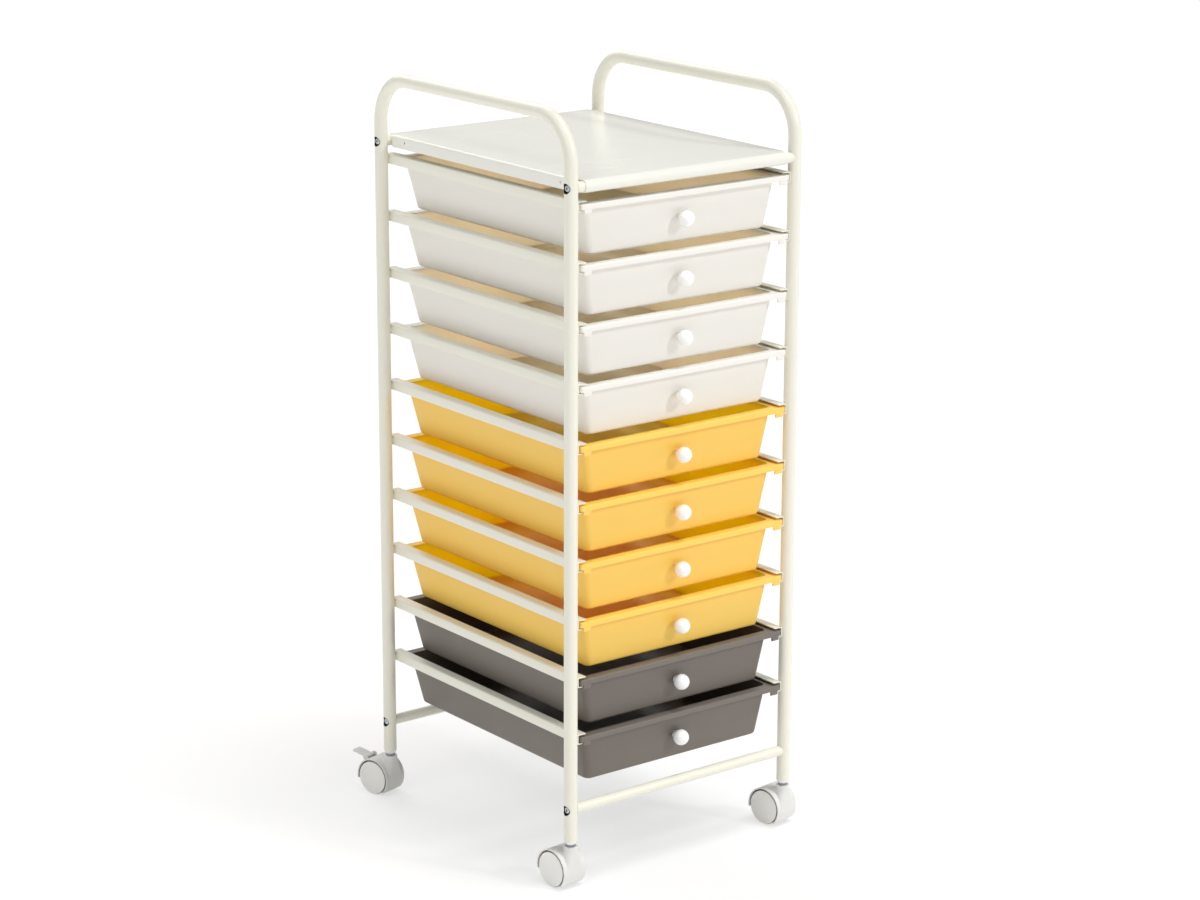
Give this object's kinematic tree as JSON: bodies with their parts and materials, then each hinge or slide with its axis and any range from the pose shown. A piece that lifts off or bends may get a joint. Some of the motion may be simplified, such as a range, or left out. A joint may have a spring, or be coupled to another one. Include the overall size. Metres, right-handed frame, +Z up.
{
  "type": "rolling drawer cart",
  "caption": "Tall steel-tube storage cart on braked swivel casters, with plastic drawers that slide in side rails, a flat steel top and a loop handle at each side.",
  "frame": {"origin": "on the floor, in the middle between the four legs", "axes": "+Z up, -Y towards the drawer fronts, +X to the right seen from the front"},
  "size_m": [0.372, 0.4453, 0.919],
  "materials": {
    "frame_paint": "semi-gloss cream powder coat",
    "cream_plastic": "semi-gloss moulded, slightly translucent",
    "yellow_plastic": "semi-gloss moulded, slightly translucent",
    "grey_plastic": "semi-gloss moulded",
    "knob_plastic": "gloss moulded",
    "caster_plastic": "fine moulded",
    "wheel_plastic": "fine moulded",
    "zinc_steel": "zinc plated"
  },
  "bodies": {
    "frame": {"left_side_tube": "frame_paint", "right_side_tube": "frame_paint", "left_rails": "frame_paint", "right_rails": "frame_paint", "top_panel": "frame_paint", "top_front_bar": "frame_paint", "top_rear_bar": "frame_paint", "bottom_front_bar": "frame_paint", "bottom_rear_bar": "frame_paint", "frame_bolts": "zinc_steel", "leg_sockets": "caster_plastic", "caster_stems": "zinc_steel"},
    "drawer_01": {"drawer_01_tray": "cream_plastic", "drawer_01_knob": "knob_plastic", "drawer_01_knob_screw": "zinc_steel"},
    "drawer_02": {"drawer_02_tray": "cream_plastic", "drawer_02_knob": "knob_plastic", "drawer_02_knob_screw": "zinc_steel"},
    "drawer_03": {"drawer_03_tray": "cream_plastic", "drawer_03_knob": "knob_plastic", "drawer_03_knob_screw": "zinc_steel"},
    "drawer_04": {"drawer_04_tray": "cream_plastic", "drawer_04_knob": "knob_plastic", "drawer_04_knob_screw": "zinc_steel"},
    "drawer_05": {"drawer_05_tray": "yellow_plastic", "drawer_05_knob": "knob_plastic", "drawer_05_knob_screw": "zinc_steel"},
    "drawer_06": {"drawer_06_tray": "yellow_plastic", "drawer_06_knob": "knob_plastic", "drawer_06_knob_screw": "zinc_steel"},
    "drawer_07": {"drawer_07_tray": "yellow_plastic", "drawer_07_knob": "knob_plastic", "drawer_07_knob_screw": "zinc_steel"},
    "drawer_08": {"drawer_08_tray": "yellow_plastic", "drawer_08_knob": "knob_plastic", "drawer_08_knob_screw": "zinc_steel"},
    "drawer_09": {"drawer_09_tray": "grey_plastic", "drawer_09_knob": "knob_plastic", "drawer_09_knob_screw": "zinc_steel"},
    "drawer_10": {"drawer_10_tray": "grey_plastic", "drawer_10_knob": "knob_plastic", "drawer_10_knob_screw": "zinc_steel"},
    "front_left_caster": {"front_left_caster_hood": "caster_plastic", "front_left_axle": "zinc_steel"},
    "front_left_outer_wheel": {"front_left_outer_wheel": "wheel_plastic"},
    "front_left_inner_wheel": {"front_left_inner_wheel": "wheel_plastic"},
    "front_right_caster": {"front_right_caster_hood": "caster_plastic", "front_right_axle": "zinc_steel"},
    "front_right_outer_wheel": {"front_right_outer_wheel": "wheel_plastic"},
    "front_right_inner_wheel": {"front_right_inner_wheel": "wheel_plastic"},
    "rear_left_caster": {"rear_left_caster_hood": "caster_plastic", "rear_left_axle": "zinc_steel"},
    "rear_left_outer_wheel": {"rear_left_outer_wheel": "wheel_plastic"},
    "rear_left_inner_wheel": {"rear_left_inner_wheel": "wheel_plastic"},
    "rear_left_brake_lever": {"rear_left_brake_lever": "caster_plastic"},
    "rear_right_caster": {"rear_right_caster_hood": "caster_plastic", "rear_right_axle": "zinc_steel"},
    "rear_right_outer_wheel": {"rear_right_outer_wheel": "wheel_plastic"},
    "rear_right_inner_wheel": {"rear_right_inner_wheel": "wheel_plastic"},
    "rear_right_brake_lever": {"rear_right_brake_lever": "caster_plastic"}
  },
  "joints": [
    {"name": "drawer_01_slide", "type": "slide", "parent": "frame", "child": "drawer_01", "axis": [0, -1, 0], "range_m": [0, 0.25]},
    {"name": "drawer_02_slide", "type": "slide", "parent": "frame", "child": "drawer_02", "axis": [0, -1, 0], "range_m": [0, 0.25]},
    {"name": "drawer_03_slide", "type": "slide", "parent": "frame", "child": "drawer_03", "axis": [0, -1, 0], "range_m": [0, 0.25]},
    {"name": "drawer_04_slide", "type": "slide", "parent": "frame", "child": "drawer_04", "axis": [0, -1, 0], "range_m": [0, 0.25]},
    {"name": "drawer_05_slide", "type": "slide", "parent": "frame", "child": "drawer_05", "axis": [0, -1, 0], "range_m": [0, 0.25]},
    {"name": "drawer_06_slide", "type": "slide", "parent": "frame", "child": "drawer_06", "axis": [0, -1, 0], "range_m": [0, 0.25]},
    {"name": "drawer_07_slide", "type": "slide", "parent": "frame", "child": "drawer_07", "axis": [0, -1, 0], "range_m": [0, 0.25]},
    {"name": "drawer_08_slide", "type": "slide", "parent": "frame", "child": "drawer_08", "axis": [0, -1, 0], "range_m": [0, 0.25]},
    {"name": "drawer_09_slide", "type": "slide", "parent": "frame", "child": "drawer_09", "axis": [0, -1, 0], "range_m": [0, 0.25]},
    {"name": "drawer_10_slide", "type": "slide", "parent": "frame", "child": "drawer_10", "axis": [0, -1, 0], "range_m": [0, 0.25]},
    {"name": "front_left_swivel", "type": "hinge", "parent": "frame", "child": "front_left_caster", "pos_m": [-0.1635, -0.188, 0.0522], "axis": [0, 0, 1], "continuous": true},
    {"name": "front_left_outer_wheel_spin", "type": "hinge", "parent": "front_left_caster", "child": "front_left_outer_wheel", "pos_m": [-0.16479, -0.17155, 0.0218], "axis": [0.9969, 0.0785, 0], "continuous": true},
    {"name": "front_left_inner_wheel_spin", "type": "hinge", "parent": "front_left_caster", "child": "front_left_inner_wheel", "pos_m": [-0.16479, -0.17155, 0.0218], "axis": [0.9969, 0.0785, 0], "continuous": true},
    {"name": "front_right_swivel", "type": "hinge", "parent": "frame", "child": "front_right_caster", "pos_m": [0.1635, -0.188, 0.0522], "axis": [0, 0, 1], "continuous": true},
    {"name": "front_right_outer_wheel_spin", "type": "hinge", "parent": "front_right_caster", "child": "front_right_outer_wheel", "pos_m": [0.1612, -0.17166, 0.0218], "axis": [0.9903, 0.1392, 0], "continuous": true},
    {"name": "front_right_inner_wheel_spin", "type": "hinge", "parent": "front_right_caster", "child": "front_right_inner_wheel", "pos_m": [0.1612, -0.17166, 0.0218], "axis": [0.9903, 0.1392, 0], "continuous": true},
    {"name": "rear_left_swivel", "type": "hinge", "parent": "frame", "child": "rear_left_caster", "pos_m": [-0.1635, 0.188, 0.0522], "axis": [0, 0, 1], "continuous": true},
    {"name": "rear_left_outer_wheel_spin", "type": "hinge", "parent": "rear_left_caster", "child": "rear_left_outer_wheel", "pos_m": [-0.16777, 0.20394, 0.0218], "axis": [0.9659, 0.2588, 0], "continuous": true},
    {"name": "rear_left_inner_wheel_spin", "type": "hinge", "parent": "rear_left_caster", "child": "rear_left_inner_wheel", "pos_m": [-0.16777, 0.20394, 0.0218], "axis": [0.9659, 0.2588, 0], "continuous": true},
    {"name": "rear_left_brake", "type": "hinge", "parent": "rear_left_caster", "child": "rear_left_brake_lever", "pos_m": [-0.17236, 0.22107, 0.04294], "axis": [-0.9659, -0.2588, 0], "range_deg": [0, 20]},
    {"name": "rear_right_swivel", "type": "hinge", "parent": "frame", "child": "rear_right_caster", "pos_m": [0.1635, 0.188, 0.0522], "axis": [0, 0, 1], "continuous": true},
    {"name": "rear_right_outer_wheel_spin", "type": "hinge", "parent": "rear_right_caster", "child": "rear_right_outer_wheel", "pos_m": [0.16092, 0.2043, 0.0218], "axis": [0.9877, 0.1564, 0], "continuous": true},
    {"name": "rear_right_inner_wheel_spin", "type": "hinge", "parent": "rear_right_caster", "child": "rear_right_inner_wheel", "pos_m": [0.16092, 0.2043, 0.0218], "axis": [0.9877, 0.1564, 0], "continuous": true},
    {"name": "rear_right_brake", "type": "hinge", "parent": "rear_right_caster", "child": "rear_right_brake_lever", "pos_m": [0.15814, 0.22182, 0.04294], "axis": [-0.9877, -0.1564, 0], "range_deg": [0, 20]}
  ]
}
